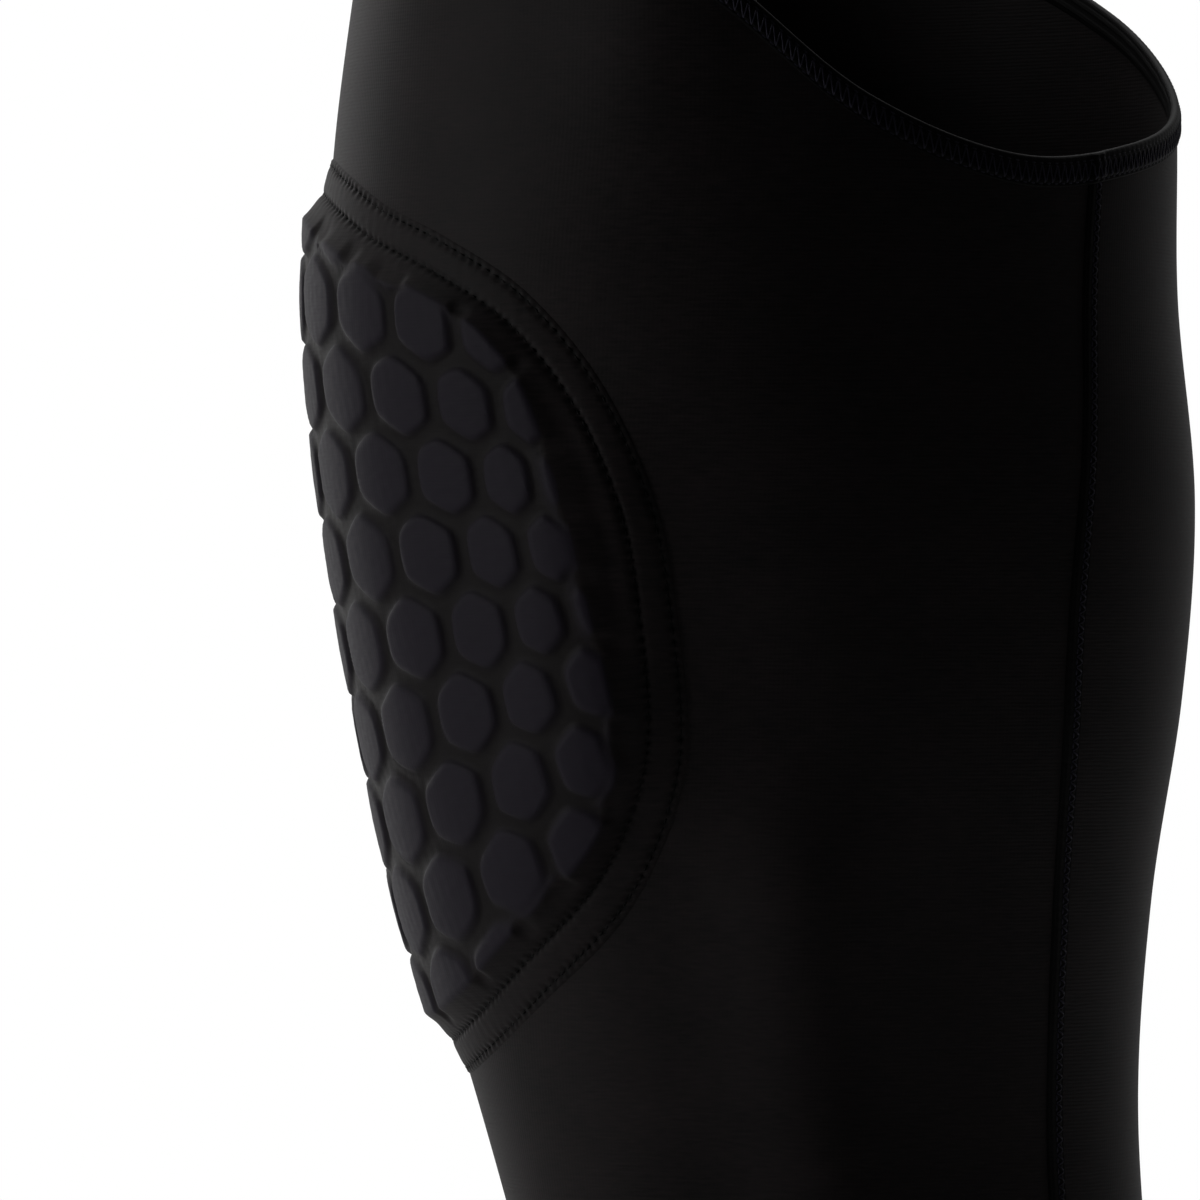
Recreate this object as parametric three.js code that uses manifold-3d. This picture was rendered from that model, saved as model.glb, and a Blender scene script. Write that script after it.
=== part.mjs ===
// A honeycomb hip pad, stitched to the compression sleeve that holds it against the outer side of the thigh.
// Millimetres. +Z is up the leg, -Y is the front of the thigh and -X its outer side. The origin is inside the
// leg, at the height of the pad's centre.
import * as THREE from "three";
import Module from "manifold-3d";

const wasm = await Module();
wasm.setup();

// Sleeve
const THIGH_WIDTH = 180;
const THIGH_DEPTH = 178;
const SLEEVE_ABOVE = 165; // from the pad's centre up to the top edge, on the outer side
const SLEEVE_BELOW = 150; // from the pad's centre down to the hem
const TOP_FALL = 70; // how far the top edge falls towards the inner front
const SLEEVE_CLOTH = 1.2;
const HEM_DEPTH = 20;

// Seams on the sleeve
const TOP_SEAM_WIDTH = 6;
const INSEAM_WIDTH = 5;
const TAPE_CLOTH = 1.0;
const SEAM_GAP = 0.4; // clearance between pieces that lie on or beside each other

// Padded panel
const PANEL_HALF_WIDTH = 113.5;
const PANEL_HALF_HEIGHT = 97;
const PANEL_FORWARD = 3.4; // from the sleeve's outermost line to the panel's centre line
const PANEL_SEAM_WIDTH = 9;
const PANEL_CLOTH = 1.0;
const PANEL_LIFT = 0.5; // from the sleeve to the panel, which bridges the sleeve's facets

// Honeycomb
const CELL_PITCH = 25; // between neighbouring cells of a row, at the panel's centre line
const ROW_PITCH = 18.4; // between rows, at the panel's centre line
const LAST_COLUMN = 6; // cells from the centre line to the last one of a row
const COLUMN_RADIUS = 106; // towards the front and back edges the columns draw together, as on a ball of this radius
const COLUMN_LEAN = 0.056; // how far the columns lean backwards, as a share of their height
const EDGE_ROW_SHARE = 0.65; // the rows draw together to this share of it at the panel's front and back edges
const ROW_BEND = 0.67; // how softly the rows bend over the centre line, as a share of the half width
const FAN_HEIGHT = 22.5; // where a row stays level all the way across
const TOP_ROW_RISE = 2.44; // rows from there up to the top one
const PAD_MARGIN = 3; // from the seam to the foot of the foam
const PAD_EDGE_RUN = 3.2; // how far the foam's edge slopes inwards on its way up
const FLOOR_THICKNESS = 1.5; // foam under the grooves
const CELL_HEIGHT = 2.2; // from the grooves up to the cells' tops
const CELL_FOOT_SHARE = 0.9;
const CELL_TOP_SHARE = 0.81;

// Leg sections: level is the share of the way up from the hem, and the other columns are shares of THIGH_WIDTH
// or THIGH_DEPTH.
const SECTIONS = [
  { level: 0.0, inwards: 0.083, width: 0.722, back: 0.03, depth: 0.74 },
  { level: 0.15, inwards: 0.039, width: 0.778, back: 0.015, depth: 0.79 },
  { level: 0.285, inwards: 0.011, width: 0.863, back: 0.0, depth: 0.87 },
  { level: 0.42, inwards: 0.004, width: 0.949, back: -0.01, depth: 0.945 },
  { level: 0.554, inwards: -0.008, width: 1.003, back: -0.01, depth: 1.0 },
  { level: 0.689, inwards: -0.028, width: 1.004, back: 0.0, depth: 1.03 },
  { level: 0.79, inwards: -0.023, width: 0.993, back: 0.012, depth: 1.05 },
  { level: 0.891, inwards: -0.013, width: 0.97, back: 0.03, depth: 1.065 },
  { level: 1.0, inwards: -0.002, width: 0.93, back: 0.045, depth: 1.07 },
];

// The top edge: turn is in degrees round from the outer side, by way of the front, and fall is a share of TOP_FALL.
const TOP_EDGE = [
  { turn: 0, fall: 0.0 },
  { turn: 40, fall: 0.02 },
  { turn: 62, fall: 0.17 },
  { turn: 84, fall: 0.49 },
  { turn: 104, fall: 0.83 },
  { turn: 126, fall: 1.0 },
  { turn: 150, fall: 0.96 },
  { turn: 180, fall: 0.8 },
  { turn: 210, fall: 0.5 },
  { turn: 240, fall: 0.22 },
  { turn: 275, fall: 0.05 },
  { turn: 320, fall: 0.0 },
];

// The inseam's line: level as for the sections, and turn in degrees as for the top edge.
const INSEAM_LINE = [
  { level: 0.0, turn: 134.5 },
  { level: 0.25, turn: 137 },
  { level: 0.48, turn: 134.5 },
  { level: 0.68, turn: 140 },
  { level: 0.8, turn: 142 },
];

// Front half of the panel's edge, from top to bottom, as shares of the panel's half width and half height.
const PANEL_EDGE = [
  { across: 0.0, up: 1.0 },
  { across: 0.205, up: 0.96 },
  { across: 0.42, up: 0.88 },
  { across: 0.6, up: 0.81 },
  { across: 0.79, up: 0.69 },
  { across: 0.93, up: 0.49 },
  { across: 0.997, up: 0.24 },
  { across: 0.99, up: -0.01 },
  { across: 0.93, up: -0.33 },
  { across: 0.755, up: -0.61 },
  { across: 0.49, up: -0.82 },
  { across: 0.24, up: -0.95 },
  { across: 0.0, up: -1.0 },
];

const SLEEVE_COLUMNS = 60;
const SLEEVE_ROWS = 14;
const EDGE_STEPS = 64;

const sleeveHeight = SLEEVE_ABOVE + SLEEVE_BELOW;
const degrees = THREE.MathUtils.degToRad;

// A smooth curve through one table's rows: call it with a value of the key column.
function smoothTable(rows, key, columns) {
  const samples = rows.flatMap((row) => columns.map((column) => row[column]));
  const curve = new THREE.CubicInterpolant(rows.map((row) => row[key]), samples, columns.length);
  return (at) => Array.from(curve.evaluate(at));
}

const legShares = smoothTable(SECTIONS, "level", ["inwards", "width", "back", "depth"]);
const topEdgeRows = [-360, 0, 360].flatMap((whole) => TOP_EDGE.map((row) => ({ ...row, turn: row.turn + whole })));
const topEdgeShare = smoothTable(topEdgeRows, "turn", ["fall"]);
const inseamTurn = smoothTable(INSEAM_LINE, "level", ["turn"]);
const levelOf = (height) => THREE.MathUtils.clamp((height + SLEEVE_BELOW) / sleeveHeight, 0, 1);

// The leg's oval at a height: its centre, half width and half depth.
function legSection(height) {
  const [inwards, width, back, depth] = legShares(levelOf(height));
  return {
    x: inwards * THIGH_WIDTH,
    y: back * THIGH_DEPTH,
    halfWidth: (width * THIGH_WIDTH) / 2,
    halfDepth: (depth * THIGH_DEPTH) / 2,
  };
}

function legPoint(turn, height) {
  const { x, y, halfWidth, halfDepth } = legSection(height);
  return new THREE.Vector3(x - halfWidth * Math.cos(turn), y - halfDepth * Math.sin(turn), height);
}

// The point that lies lift outside the sleeve's outer face.
function sleevePoint(turn, height, lift) {
  const step = 0.01;
  const here = legPoint(turn, height);
  const round = legPoint(turn + step, height).sub(here);
  const up = legPoint(turn, height + step).sub(here);
  const outwards = round.cross(up).normalize();
  return here.addScaledVector(outwards, lift);
}

const topEdgeHeight = (turn) => {
  const turned = THREE.MathUtils.euclideanModulo(THREE.MathUtils.radToDeg(turn), 360);
  return SLEEVE_ABOVE - TOP_FALL * topEdgeShare(turned)[0];
};

// The point of the padded panel that is so far across, to the front, and up from the panel's centre.
function panelPoint(across, up, lift) {
  const { halfWidth, halfDepth } = legSection(up);
  const radius = (halfWidth + halfDepth) / 2;
  return sleevePoint((PANEL_FORWARD + across) / radius, up, lift);
}

// Triangles as a geometry whose faces point outwards.
function closedGeometry(positions, triangles) {
  const corner = (index) => new THREE.Vector3().fromArray(positions, index * 3);
  let volume = 0;
  for (let i = 0; i < triangles.length; i += 3) {
    const [a, b, c] = [0, 1, 2].map((n) => corner(triangles[i + n]));
    volume += a.dot(b.cross(c));
  }
  const facing = volume < 0 ? [...triangles].reverse() : triangles;
  const geometry = new THREE.BufferGeometry();
  geometry.setAttribute("position", new THREE.Float32BufferAttribute(positions, 3));
  geometry.setIndex(facing);
  geometry.computeVertexNormals();
  return geometry;
}

// A closed solid between two grids of points. pointAt takes the shares across and along, from 0 to 1, and the
// side, 0 or 1. A wrapped grid joins its last column to its first, and a pointed one draws its first row
// together into one point.
function gridSolid(columns, rows, pointAt, { wrapped = false, pointed = false } = {}) {
  const positions = [];
  const triangles = [];
  const known = new Map();
  const corner = (column, row, side) => {
    const across = wrapped ? column % columns : column;
    const key = pointed && row === 0 ? `tip ${side}` : `${across} ${row} ${side}`;
    if (!known.has(key)) {
      known.set(key, positions.length / 3);
      positions.push(...pointAt(across / columns, row / rows, side).toArray());
    }
    return known.get(key);
  };
  const quad = (a, b, c, d) => {
    for (const triangle of [[a, b, c], [a, c, d]]) {
      if (new Set(triangle).size === 3) triangles.push(...triangle);
    }
  };
  for (let i = 0; i < columns; i += 1) {
    for (let j = 0; j < rows; j += 1) {
      quad(corner(i, j, 1), corner(i + 1, j, 1), corner(i + 1, j + 1, 1), corner(i, j + 1, 1));
      quad(corner(i, j, 0), corner(i, j + 1, 0), corner(i + 1, j + 1, 0), corner(i + 1, j, 0));
    }
    quad(corner(i + 1, 0, 1), corner(i, 0, 1), corner(i, 0, 0), corner(i + 1, 0, 0));
    quad(corner(i, rows, 1), corner(i + 1, rows, 1), corner(i + 1, rows, 0), corner(i, rows, 0));
  }
  for (let j = 0; j < rows && !wrapped; j += 1) {
    quad(corner(0, j, 1), corner(0, j + 1, 1), corner(0, j + 1, 0), corner(0, j, 0));
    quad(corner(columns, j + 1, 1), corner(columns, j, 1), corner(columns, j, 0), corner(columns, j + 1, 0));
  }
  return closedGeometry(positions, triangles);
}

// The height of one of the sleeve's rows, at a place round the leg. The first rows make up the hem.
function sleeveRowHeight(row, turn) {
  const hem = [0, HEM_DEPTH - SLEEVE_CLOTH, HEM_DEPTH];
  if (row < hem.length) return hem[row] - SLEEVE_BELOW;
  const share = (row - hem.length + 1) / (SLEEVE_ROWS - hem.length + 1);
  return THREE.MathUtils.lerp(HEM_DEPTH - SLEEVE_BELOW, topEdgeHeight(turn), share);
}

// The sleeve: a tube of cloth, double where the hem is folded inwards.
function sleeveGeometry() {
  const pointAt = (around, along, side) => {
    const turn = around * 2 * Math.PI;
    const row = Math.round(along * SLEEVE_ROWS);
    const layers = row < 2 ? 2 : 1;
    return sleevePoint(turn, sleeveRowHeight(row, turn), side ? 0 : -layers * SLEEVE_CLOTH);
  };
  return gridSolid(SLEEVE_COLUMNS, SLEEVE_ROWS, pointAt, { wrapped: true });
}

// The flat seam round the sleeve's top edge.
function topSeamGeometry() {
  const pointAt = (around, along, side) => {
    const turn = around * 2 * Math.PI;
    const height = topEdgeHeight(turn) - (1 - along) * TOP_SEAM_WIDTH;
    return sleevePoint(turn, height, SEAM_GAP + side * TAPE_CLOTH);
  };
  return gridSolid(SLEEVE_COLUMNS, 1, pointAt, { wrapped: true });
}

// The flat seam down the inner front of the leg, from the top seam to the hem.
function inseamGeometry() {
  const topTurn = degrees(INSEAM_LINE.at(-1).turn);
  const top = topEdgeHeight(topTurn) - TOP_SEAM_WIDTH - 2 * SEAM_GAP;
  return gridSolid(2, SLEEVE_ROWS, (across, along, side) => {
    const height = Math.min(sleeveRowHeight(Math.round(along * SLEEVE_ROWS), topTurn), top);
    const middle = degrees(inseamTurn(levelOf(height))[0]);
    const turn = middle + ((across - 0.5) * INSEAM_WIDTH) / legSection(height).halfWidth;
    return sleevePoint(turn, height, SEAM_GAP + side * TAPE_CLOTH);
  });
}

// The panel's edge as a closed curve, flat, with across along X and up along Y.
function panelEdgeCurve() {
  const front = PANEL_EDGE.map(({ across, up }) => [across * PANEL_HALF_WIDTH, up * PANEL_HALF_HEIGHT]);
  const back = front.slice(1, -1).reverse().map(([across, up]) => [-across, up]);
  const points = [...front, ...back].map(([across, up]) => new THREE.Vector3(across, up, 0));
  return new THREE.CatmullRomCurve3(points, true, "centripetal");
}

// Equal steps round the panel's edge, each with the direction that points into the panel.
const edgeCurve = panelEdgeCurve();
const edgePoints = Array.from({ length: EDGE_STEPS }, (_, step) => {
  const at = edgeCurve.getPointAt(step / EDGE_STEPS);
  const along = edgeCurve.getTangentAt(step / EDGE_STEPS);
  return { at, inwards: new THREE.Vector3(along.y, -along.x, 0) };
});

// The flat place that lies inset inside the panel's edge, at one of the steps round it.
const insideEdge = (step, inset) => {
  const { at, inwards } = edgePoints[step % EDGE_STEPS];
  return at.clone().addScaledVector(inwards, inset);
};

// The stitched band round the panel.
function panelSeamGeometry() {
  const pointAt = (around, along, side) => {
    const { x, y } = insideEdge(Math.round(around * EDGE_STEPS), along * PANEL_SEAM_WIDTH);
    return panelPoint(x, y, PANEL_LIFT + side * TAPE_CLOTH);
  };
  return gridSolid(EDGE_STEPS, 1, pointAt, { wrapped: true });
}

// The sheet of cloth inside the band, which carries the honeycomb.
function panelGeometry() {
  const rings = 9;
  const inset = PANEL_SEAM_WIDTH + SEAM_GAP;
  const pointAt = (around, along, side) => {
    const { x, y } = insideEdge(Math.round(around * EDGE_STEPS), inset).multiplyScalar(along);
    return panelPoint(x, y, PANEL_LIFT + side * PANEL_CLOTH);
  };
  return gridSolid(EDGE_STEPS, rings, pointAt, { wrapped: true, pointed: true });
}

const padBase = PANEL_LIFT + PANEL_CLOTH + SEAM_GAP;
const grooveLift = padBase + FLOOR_THICKNESS;
const cellLift = grooveLift + CELL_HEIGHT;

// A place of the honeycomb's even pattern, moved to where it lies on the panel: the cells are largest along the
// centre line, and rows and columns draw together towards the front and back edges.
function fannedPlace(across, rise) {
  const drawn = COLUMN_RADIUS * Math.sin(across / COLUMN_RADIUS);
  const toEdge = (share) => Math.hypot(share, ROW_BEND) - ROW_BEND;
  const squeeze = ((1 - EDGE_ROW_SHARE) * toEdge(drawn / PANEL_HALF_WIDTH)) / toEdge(1);
  const up = FAN_HEIGHT + rise * (1 - squeeze);
  return { x: drawn - COLUMN_LEAN * up, y: up };
}

// The centres, in the even pattern, of all cells that reach the foam. Every second row is half a pitch along.
function cellCentres() {
  const halfWidth = PANEL_HALF_WIDTH + CELL_PITCH;
  const halfHeight = PANEL_HALF_HEIGHT + ROW_PITCH;
  const centres = [];
  for (let row = -2; row <= 12; row += 1) {
    for (let column = -LAST_COLUMN + (row % 2 === 0 ? 0 : 0.5); column <= LAST_COLUMN; column += 1) {
      const across = column * CELL_PITCH;
      const rise = (TOP_ROW_RISE - row) * ROW_PITCH;
      const { x, y } = fannedPlace(across, rise);
      if (Math.hypot(x / halfWidth, y / halfHeight) < 1) centres.push({ across, rise });
    }
  }
  return centres;
}

// The whole field of cells as one closed slab, larger than the pad.
function honeycombField() {
  const positions = [];
  const triangles = [];
  const known = new Map();
  const walls = new Map();
  const vertex = (across, rise, lift) => {
    const key = [across, rise, lift].map((value) => Math.round(value * 100)).join(" ");
    if (!known.has(key)) {
      known.set(key, positions.length / 3);
      const { x, y } = fannedPlace(across, rise);
      positions.push(...panelPoint(x, y, lift).toArray());
    }
    return known.get(key);
  };
  // The corners of a hexagon that stands on a point, as high as the rows are apart.
  const corners = [
    [0, 2 / 3],
    [-0.5, 1 / 3],
    [-0.5, -1 / 3],
    [0, -2 / 3],
    [0.5, -1 / 3],
    [0.5, 1 / 3],
  ];
  for (const { across, rise } of cellCentres()) {
    const ring = (share, lift) =>
      corners.map(([x, y]) => vertex(across + x * share * CELL_PITCH, rise + y * share * ROW_PITCH, lift));
    const top = ring(CELL_TOP_SHARE, cellLift);
    const foot = ring(CELL_FOOT_SHARE, grooveLift);
    const edge = ring(1, grooveLift);
    const under = ring(1, padBase);
    const topMiddle = vertex(across, rise, cellLift);
    const underMiddle = vertex(across, rise, padBase);
    for (let i = 0; i < corners.length; i += 1) {
      const next = (i + 1) % corners.length;
      triangles.push(topMiddle, top[i], top[next], underMiddle, under[next], under[i]);
      for (const [high, low] of [[top, foot], [foot, edge]]) {
        triangles.push(high[i], low[i], low[next], high[i], low[next], high[next]);
      }
      walls.set(`${edge[i]} ${edge[next]}`, [edge[i], edge[next], under[i], under[next]]);
    }
  }
  for (const [a, b, underA, underB] of walls.values()) {
    if (!walls.has(`${b} ${a}`)) triangles.push(a, underA, underB, a, underB, b);
  }
  return closedGeometry(positions, triangles);
}

// A closed body whose walls cut the honeycomb out along the pad's edge, narrower outside than at the foot.
function padCutter() {
  const foot = { lift: padBase, inset: PANEL_SEAM_WIDTH + PAD_MARGIN };
  const slope = PAD_EDGE_RUN / (cellLift - padBase);
  const rings = [-4 * padBase, 2 * cellLift];
  const tips = [-THIGH_WIDTH / 3, 2 * THIGH_WIDTH];
  const positions = [];
  const triangles = [];
  for (const lift of rings) {
    for (let step = 0; step < EDGE_STEPS; step += 1) {
      const { x, y } = insideEdge(step, foot.inset + (lift - foot.lift) * slope);
      positions.push(...panelPoint(x, y, lift).toArray());
    }
  }
  for (const lift of tips) positions.push(...panelPoint(0, 0, lift).toArray());
  const [innerTip, outerTip] = [2 * EDGE_STEPS, 2 * EDGE_STEPS + 1];
  for (let step = 0; step < EDGE_STEPS; step += 1) {
    const next = (step + 1) % EDGE_STEPS;
    const [outer, outerNext] = [step + EDGE_STEPS, next + EDGE_STEPS];
    triangles.push(step, outer, outerNext, step, outerNext, next);
    triangles.push(innerTip, step, next, outerTip, outerNext, outer);
  }
  return closedGeometry(positions, triangles);
}

function solidOf(geometry) {
  const vertProperties = new Float32Array(geometry.attributes.position.array);
  const triVerts = new Uint32Array(geometry.index.array);
  return new wasm.Manifold(new wasm.Mesh({ numProp: 3, vertProperties, triVerts }));
}

function geometryOf(solid) {
  const { vertProperties, triVerts } = solid.getMesh();
  return closedGeometry(Array.from(vertProperties), Array.from(triVerts));
}

const honeycombGeometry = () => geometryOf(solidOf(honeycombField()).intersect(solidOf(padCutter())));

const knit = new THREE.MeshStandardMaterial({ color: 0x1b1a1a, roughness: 0.62, metalness: 0 });
const tape = new THREE.MeshStandardMaterial({ color: 0x161516, roughness: 0.7, metalness: 0 });
const padCloth = new THREE.MeshStandardMaterial({ color: 0x242429, roughness: 0.55, metalness: 0 });

function namedMesh(name, geometry, material) {
  const mesh = new THREE.Mesh(geometry, material);
  mesh.name = name;
  return mesh;
}

const hipPad = new THREE.Group();
hipPad.add(
  namedMesh("leg_sleeve", sleeveGeometry(), knit),
  namedMesh("top_seam", topSeamGeometry(), tape),
  namedMesh("inseam", inseamGeometry(), tape),
  namedMesh("pad_panel", panelGeometry(), knit),
  namedMesh("panel_seam", panelSeamGeometry(), tape),
  namedMesh("honeycomb_pad", honeycombGeometry(), padCloth),
);

export default hipPad;
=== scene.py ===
"""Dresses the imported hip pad: knit sleeve, cover over the honeycomb foam, and every stitched seam.

Lengths are in metres. +Z is up the leg, -Y is its front and -X its outer side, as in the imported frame.
"""

import math

import bpy
import numpy as np
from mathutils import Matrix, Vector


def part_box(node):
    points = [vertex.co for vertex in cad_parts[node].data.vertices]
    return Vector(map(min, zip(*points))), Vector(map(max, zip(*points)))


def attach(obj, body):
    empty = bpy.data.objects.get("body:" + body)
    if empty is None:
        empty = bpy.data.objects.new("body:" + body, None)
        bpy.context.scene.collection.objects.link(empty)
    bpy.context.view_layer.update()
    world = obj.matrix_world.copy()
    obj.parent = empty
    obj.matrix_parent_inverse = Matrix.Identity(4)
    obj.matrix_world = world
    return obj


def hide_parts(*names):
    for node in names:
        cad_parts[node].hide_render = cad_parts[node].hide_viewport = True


MM = 0.001

# The sleeve: these sizes are the solids' own
THIGH_WIDTH = 180 * MM
THIGH_DEPTH = 178 * MM
SLEEVE_ABOVE = 165 * MM
SLEEVE_BELOW = 150 * MM
TOP_FALL = 70 * MM
HEM_DEPTH = 20 * MM
TOP_SEAM_WIDTH = 6 * MM
INSEAM_WIDTH = 5 * MM

# The padded panel: these sizes are the solids' own
PANEL_HALF_WIDTH = 113.5 * MM
PANEL_HALF_HEIGHT = 97 * MM
PANEL_FORWARD = 3.4 * MM
CELL_PITCH = 25 * MM
ROW_PITCH = 18.4 * MM
COLUMN_RADIUS = 106 * MM
COLUMN_LEAN = 0.056
EDGE_ROW_SHARE = 0.65
ROW_BEND = 0.67
FAN_HEIGHT = 22.5 * MM
TOP_ROW_RISE = 2.44

# Cloth
CLOTH = 0.8 * MM
COVER_CLOTH = 0.6 * MM
COURSE = 0.78 * MM  # between rows of the knit's loops
WALE = 0.95 * MM  # between columns of them
TENSION_FOLD = 0.10 * MM  # height of the sleeve's faint unevenness
TENSION_FOLD_SIZE = 38 * MM
MUSCLE_WIDTH = 17 * MM  # from a muscle ridge's top to where it meets the leg's plain oval

# The cover over the foam
GROOVE_LIFT = 4.3 * MM  # from the sleeve to the cover, in the grooves
CELL_LIFT = 5.15 * MM
CELL_CROWN = 0.3 * MM
CELL_UNEVENNESS = 0.10 * MM  # by which one cell is higher or lower than the next
CELL_WANDER = 0.35 * MM  # of the cells' borders
CELL_WANDER_SIZE = 18 * MM
CELL_SQUARENESS = 7  # higher is sharper at the cells' corners
GROOVE_FLOOR = 0.85 * MM  # half the width of a groove's floor
GROOVE_WALL = 1.8 * MM  # across the slope from there up to the cell
ENDING_GROOVE = 0.85  # share of its depth that a groove keeps where it ends at the foam's edge
PASSING_GROOVE = 0.05  # and where it runs along the edge
EDGE_GROOVE_RUN = 5 * MM  # inwards from the edge to where the grooves have their full depth
EDGE_NOTCH = 1.5 * MM  # how much further in the drawn cover meets the foam at the grooves' ends
NOTCH_SLOPE = (0.4 * MM, 2.2 * MM)  # from a groove's middle to where the notch starts to go, and is gone
DRAWN_BEND = 0.1  # how much of the drawn cover's climb to the foam comes late, as a share
FOAM_CORNER = 0.4 * MM  # rounding where the drawn cover meets the foam
FOAM_COLOUR_SLOPE = (-0.7 * MM, 0.2 * MM)  # from that place, where the foam's colour starts and is full; its grooves' darker tone is painted shade
COVER_RIPPLE = 0.03 * MM
COVER_RIPPLE_SIZE = 3.5 * MM

# The cover's margin and its seam: insets are from the panel's edge
OUTER_ROW = 1.5 * MM
INNER_ROW = 7.7 * MM
STITCH_ROWS = (OUTER_ROW, INNER_ROW)
MARGIN_EDGE = (-0.4 * MM, 1.2 * MM)  # the slope from the sleeve up to the margin
MARGIN_TUCK = 0.1 * MM  # how far its outermost points go into the sleeve
SEAM_BAND_RISE = 0.95 * MM  # from the outer to the inner row, as the cover is drawn up to the foam
SEAM_BAND_FADE = 5 * MM  # from the inner row to where that rise has run out
SEAM_BAND_PUFF = 0.10 * MM
CHANNEL_DEPTH = 0.20 * MM
CHANNEL_WIDTH = 0.75 * MM
HOLE_DEPTH = 0.30 * MM  # further down than the channel
HOLE_WIDTH = 0.5 * MM

# Flat seams: shares are of a seam's half width, from its middle
SEAM_RISE = 0.58 * MM
SEAM_RIDGE = 0.14 * MM
SEAM_RIDGE_SPAN = (0.12, 0.72)
SEAM_NEEDLE = 0.7  # where the needle rows are
SEAM_NEEDLE_DEPTH = 0.2 * MM
SEAM_NEEDLE_WIDTH = 0.1
SEAM_SIDE = 0.82  # from here outwards it falls to the cloth
SEAM_TUCK = 0.15 * MM  # how far its edges go into the cloth
SEAM_PUCKER = 0.05 * MM
SEAM_PUCKER_WIDTH = 0.25
BINDING_NEEDLES = (-2.1 * MM, 2.1 * MM)  # beside the middle of the top edge's band
INSEAM_NEEDLES = (0.1 * MM, 1.75 * MM)
INSEAM_BELOW_TOP = 1 * MM  # from its upper end to the top edge
INSEAM_ABOVE_HEM = 0.5 * MM
INSEAM_END_DROP = 0.5 * MM  # down into the cloth at its lower end
INSEAM_END_RUN = 0.8 * MM
HEM_ROWS = (15.6 * MM, 18.4 * MM)  # above the sleeve's lower edge
HEM_CHANNEL = 0.22 * MM
HEM_CHANNEL_WIDTH = 0.8 * MM
HEM_FOLD = 0.25 * MM  # how far the doubled hem stands out
HEM_FOLD_SLOPE = 2 * MM
HEM_STEP = 0.6 * MM  # half the height over which the inner face steps in to the doubled hem

# Threads
THREAD = 0.42 * MM
THREAD_SIDES = 6
THREAD_KNOTS = 7
THREAD_TIP = THREAD / 3
PANEL_STITCH = 2.6 * MM
SEAM_STITCH = 2.2 * MM
HEM_STITCH = 2.5 * MM
STITCH_SHARE = 0.74  # of a stitch's pitch that its thread covers
STITCH_DIP = 0.42 * MM  # down into the cloth at a stitch's ends
STITCH_BEND = 2.5  # higher turns down nearer to the ends
STITCH_THINNING = 0.35
LOOPER_RADIUS = 0.42 * THREAD
LOOPER_DIP = 0.3 * MM
LOOPER_BEND = 4
LOOPER_THINNING = 0.3
LOOPER_LIFT = 0.1 * MM  # above the needle rows
HEM_THREAD_LIFT = 0.12 * MM
PANEL_THREAD_SINK = 0.22 * MM

# Fineness of the meshes
SLEEVE_GRID = (300, 190)  # points round, and up its outer face
COVER_RINGS = 155
MARGIN_RINGS = 42  # these outermost ones keep their distance from the panel's edge
MARGIN_BAND = 24 * MM  # as far in as this
INSEAM_GRID = (700, 25)
BINDING_STEPS = 1100
BINDING_ROWS = {"outer": 23, "fold": 9, "inner": 15}
POINTS_ROUND = 1801  # of a line right round the leg
INSEAM_POINTS = 600
EDGE_POINTS = 2400

# The knit's relief and tones, as shares of the noise and waves that make them
COURSE_WANDER = 5.0
COURSE_RELIEF = 0.8
WALE_RELIEF = 0.4
STREAK_RELIEF = 5.0
KNIT_RELIEF = 0.12 * MM
STREAK_TONE = 1.4
PATCH_TONE = 0.8
DARKENING = 0.6
CELL_LIGHTENING = 1.3
LEAST_ROUGHNESS = 0.53
STREAK_ROUGHNESS = 0.16
NOISE_ROUGHNESS = 0.6

# The stage
FRAME_WIDTH = 254.4 * MM  # what the photograph shows across, at the leg
FRAME_MIDDLE = {"x": -37.1 * MM, "z": 3.4 * MM}
CAMERA_DISTANCE = 2.6
SENSOR = 36
FLOOR_RADIUS = 0.42
FLOOR_THICKNESS = 0.02
FLOOR_ROUNDING = 0.004
BACK_GLOW = {"From Min": 0.4, "From Max": 0.98, "To Min": 0.037, "To Max": 0.55}

# Softboxes, each turned towards the leg: lengths in metres and power in watts.
SOFTBOXES = [
    {"name": "key", "place": (-1.65, -0.29, 0.35), "width": 0.4, "height": 1.5, "power": 12},
    {"name": "left_back", "place": (-1.1, 1.5, 0.3), "width": 0.6, "height": 1.6, "power": 5.5},
    {"name": "left_edge", "place": (-1.6, 0.5, 0.3), "width": 0.5, "height": 1.5, "power": 1.2},
    {"name": "overhead", "place": (-0.1, 0.9, 1.8), "width": 1.4, "height": 1.0, "power": 18},
]

# Leg sections: level is the share of the way up from the hem, and the other columns are shares of
# THIGH_WIDTH or THIGH_DEPTH.
SECTIONS = [
    {"level": 0.0, "inwards": 0.083, "width": 0.722, "back": 0.03, "depth": 0.74},
    {"level": 0.15, "inwards": 0.039, "width": 0.778, "back": 0.015, "depth": 0.79},
    {"level": 0.285, "inwards": 0.011, "width": 0.863, "back": 0.0, "depth": 0.87},
    {"level": 0.42, "inwards": 0.004, "width": 0.949, "back": -0.01, "depth": 0.945},
    {"level": 0.554, "inwards": -0.008, "width": 1.003, "back": -0.01, "depth": 1.0},
    {"level": 0.689, "inwards": -0.028, "width": 1.004, "back": 0.0, "depth": 1.03},
    {"level": 0.79, "inwards": -0.023, "width": 0.993, "back": 0.012, "depth": 1.05},
    {"level": 0.891, "inwards": -0.013, "width": 0.97, "back": 0.03, "depth": 1.065},
    {"level": 1.0, "inwards": -0.002, "width": 0.93, "back": 0.045, "depth": 1.07},
]

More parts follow.
